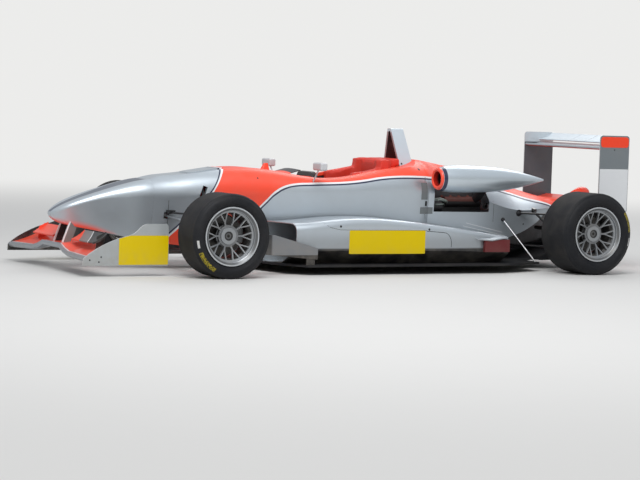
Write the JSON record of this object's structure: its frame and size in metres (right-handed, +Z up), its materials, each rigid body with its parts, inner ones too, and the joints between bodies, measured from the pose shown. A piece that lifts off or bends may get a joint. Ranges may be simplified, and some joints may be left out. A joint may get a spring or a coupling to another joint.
{
  "type": "open wheel racing car",
  "caption": "Single seat open wheel racing car with slim nose, front and rear wings, low sidepods, side air intake pod and slick tyres on mesh rims.",
  "frame": {"origin": "on the ground, under the middle of the car's length and width", "axes": "+X to the nose, +Y to the car's left, +Z up"},
  "size_m": [4.2, 1.836, 0.9484],
  "materials": {
    "body_silver": "silver paint",
    "wing_orange": "bright red-orange paint",
    "wing_silver": "silver paint",
    "carbon": "black carbon laminate",
    "smoked_screen": "dark tinted plastic",
    "collar_red": "padded collar",
    "seat_black": "black lining",
    "hoop_silver": "silver paint",
    "mirror_silver": "silver paint",
    "plank_wood": "plain wood",
    "radiator_alloy": "finned",
    "vane_grey": "grey",
    "steel_tube": "satin",
    "engine_alloy": "cast",
    "cover_grey": "blue-grey paint",
    "box_red": "dark red paint",
    "plenum_brown": "red-brown moulding",
    "gearbox_alloy": "cast",
    "exhaust_steel": "heat stained",
    "lamp_red": "red lens",
    "suspension_black": "black paint",
    "upright_alloy": "machined",
    "wheel_grip": "black",
    "tyre": "slick rubber",
    "rim_alloy": "silver",
    "brake_steel": "ground"
  },
  "bodies": {
    "chassis": {"nose_cone": "body_silver", "nose_pylons": "carbon", "front_wing_plane": "wing_orange", "front_wing_flaps": "wing_orange", "front_wing_plates": "body_silver", "monocoque": "body_silver", "cowl_covers": "cover_grey", "front_keel": "carbon", "windscreen": "smoked_screen", "cockpit_collar": "collar_red", "seat": "seat_black", "dash_bulkhead": "carbon", "roll_hoop": "hoop_silver", "mirrors": "mirror_silver", "floor": "carbon", "skid_plank": "plank_wood", "diffuser": "carbon", "sidepod_left": "body_silver", "sidepod_right": "body_silver", "tail_boxes": "box_red", "radiators": "radiator_alloy", "turning_vanes": "vane_grey", "floor_stays": "steel_tube", "engine_cover": "body_silver", "intake_pod": "body_silver", "engine": "engine_alloy", "plenum": "plenum_brown", "gearbox": "gearbox_alloy", "exhaust": "exhaust_steel", "crash_structure": "carbon", "rain_light": "lamp_red", "rear_wing_planes": "wing_silver", "rear_wing_plates": "wing_silver", "beam_wing": "wing_orange", "tail_fairing": "wing_orange", "front_wishbones": "suspension_black", "front_pushrods": "suspension_black", "rear_wishbones": "suspension_black", "rear_pushrods": "suspension_black", "rear_uprights": "upright_alloy", "suspension_brackets": "suspension_black", "rack_housing": "upright_alloy"},
    "steering_wheel": {"steering_wheel": "wheel_grip"},
    "steering_rack": {"steering_rack": "steel_tube"},
    "knuckle_fl": {"knuckle_front_left": "upright_alloy"},
    "knuckle_fr": {"knuckle_front_right": "upright_alloy"},
    "wheel_fl": {"tyre_front_left": "tyre", "rim_front_left": "rim_alloy", "hub_front_left": "brake_steel"},
    "wheel_fr": {"tyre_front_right": "tyre", "rim_front_right": "rim_alloy", "hub_front_right": "brake_steel"},
    "wheel_rl": {"tyre_rear_left": "tyre", "rim_rear_left": "rim_alloy", "hub_rear_left": "brake_steel"},
    "wheel_rr": {"tyre_rear_right": "tyre", "rim_rear_right": "rim_alloy", "hub_rear_right": "brake_steel"}
  },
  "joints": [
    {"name": "steer_left", "type": "hinge", "parent": "chassis", "child": "knuckle_fl", "pos_m": [1.21, 0.732, 0.156], "axis": [0, -0.0897, 0.996], "range_deg": [-15, 15]},
    {"name": "steer_right", "type": "hinge", "parent": "chassis", "child": "knuckle_fr", "pos_m": [1.21, -0.732, 0.156], "axis": [0, 0.0897, 0.996], "range_deg": [-15, 15]},
    {"name": "rack_slide", "type": "slide", "parent": "chassis", "child": "steering_rack", "axis": [0, 1, 0], "range_m": [-0.029, 0.029]},
    {"name": "steering_wheel_turn", "type": "hinge", "parent": "chassis", "child": "steering_wheel", "pos_m": [0.215, 0, 0.556], "axis": [-0.9834, 0, 0.1815], "range_deg": [-151, 151]},
    {"name": "spin_fl", "type": "hinge", "parent": "knuckle_fl", "child": "wheel_fl", "pos_m": [1.21, 0.784, 0.266], "axis": [0, 1, 0], "continuous": true},
    {"name": "spin_fr", "type": "hinge", "parent": "knuckle_fr", "child": "wheel_fr", "pos_m": [1.21, -0.784, 0.266], "axis": [0, 1, 0], "continuous": true},
    {"name": "spin_rl", "type": "hinge", "parent": "chassis", "child": "wheel_rl", "pos_m": [-1.56, 0.758, 0.278], "axis": [0, 1, 0], "continuous": true},
    {"name": "spin_rr", "type": "hinge", "parent": "chassis", "child": "wheel_rr", "pos_m": [-1.56, -0.758, 0.278], "axis": [0, 1, 0], "continuous": true}
  ],
  "couplings": [
    {"joint": "steer_right", "follows": "steer_left", "ratio": 1},
    {"joint": "rack_slide", "follows": "steer_left", "m_per_rad": 0.11},
    {"joint": "steering_wheel_turn", "follows": "steer_left", "ratio": 10}
  ]
}
